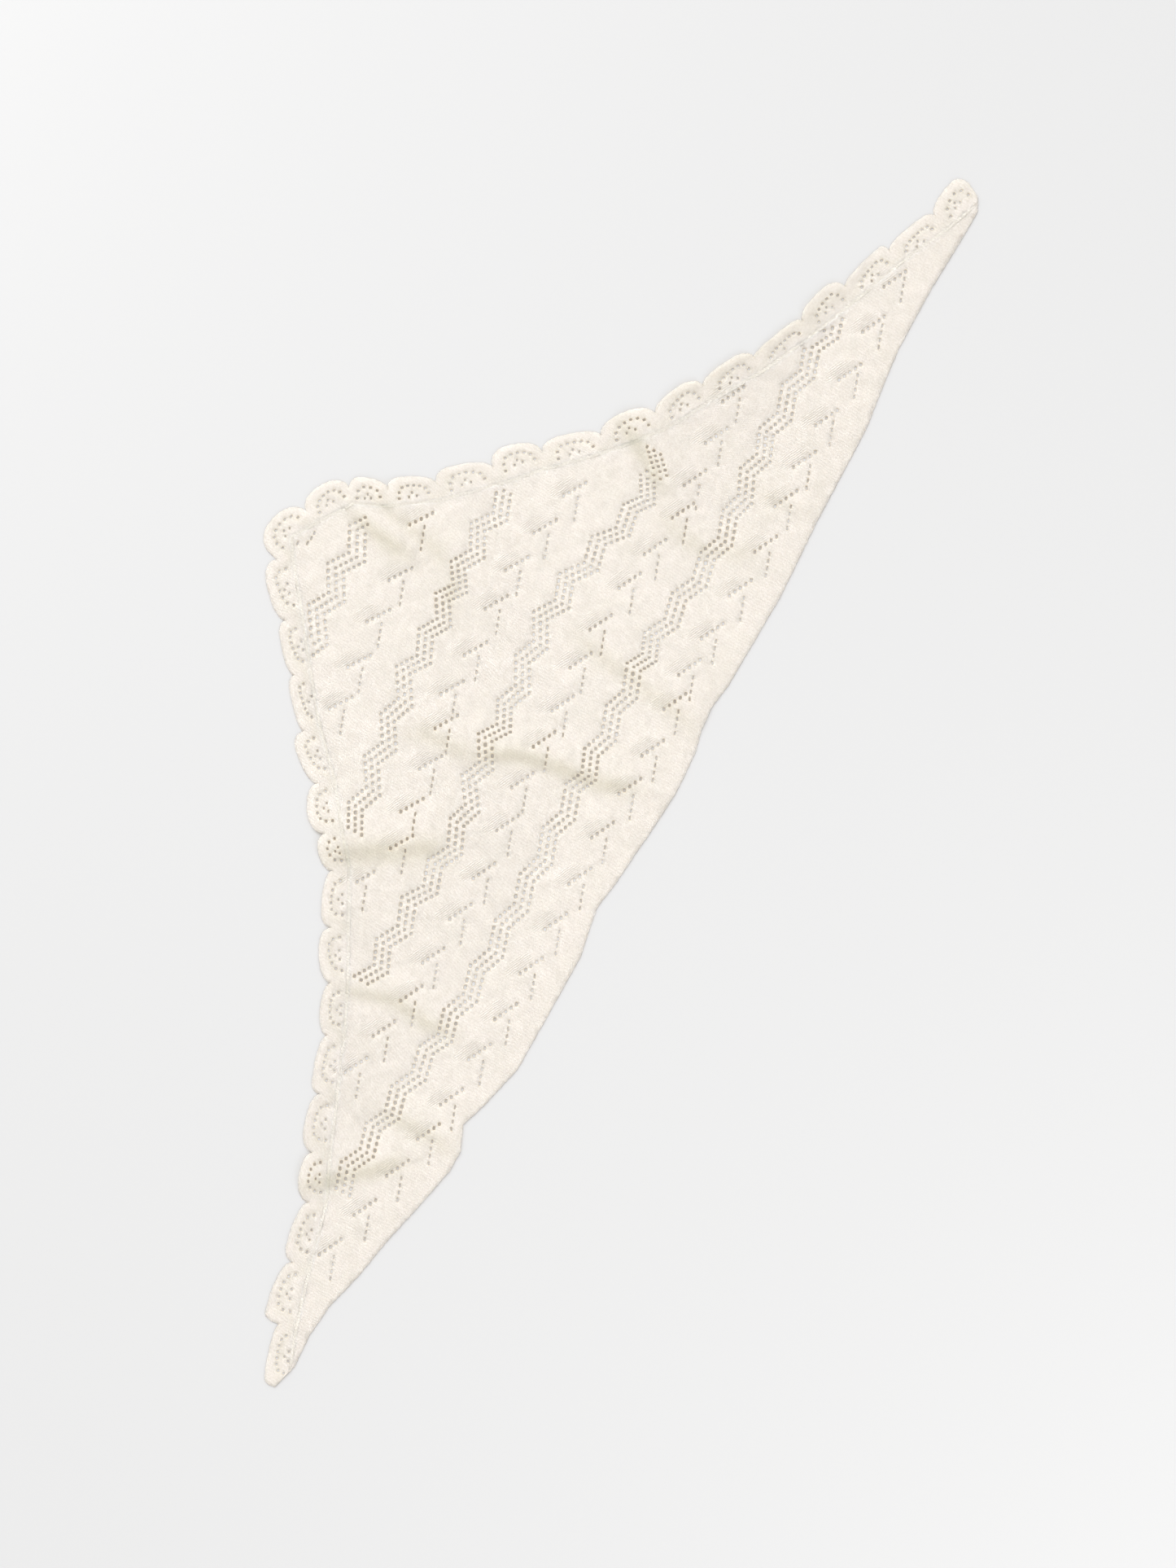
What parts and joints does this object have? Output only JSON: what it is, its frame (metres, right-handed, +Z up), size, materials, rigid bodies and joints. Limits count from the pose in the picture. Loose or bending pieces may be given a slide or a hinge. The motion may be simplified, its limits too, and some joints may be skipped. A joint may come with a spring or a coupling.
{
  "type": "triangle shawl",
  "caption": "Knitted lace triangle shawl laid flat, with zigzag eyelet bands, a plain long edge and a scalloped edging round the two short sides.",
  "frame": {"origin": "middle of the laid shawl's outline seen from above, at the height of the surface it lies on", "axes": "+X along the long straight edge, towards the tip that is uppermost in the picture; +Y from the long edge towards the point of the triangle; +Z up off the surface"},
  "size_m": [1.6228, 0.5696, 0.0084],
  "materials": {
    "panel_wool": "matte",
    "edging_wool": "matte"
  },
  "bodies": {
    "root": {"lace_panel": "panel_wool", "scalloped_edging": "edging_wool"}
  },
  "joints": []
}
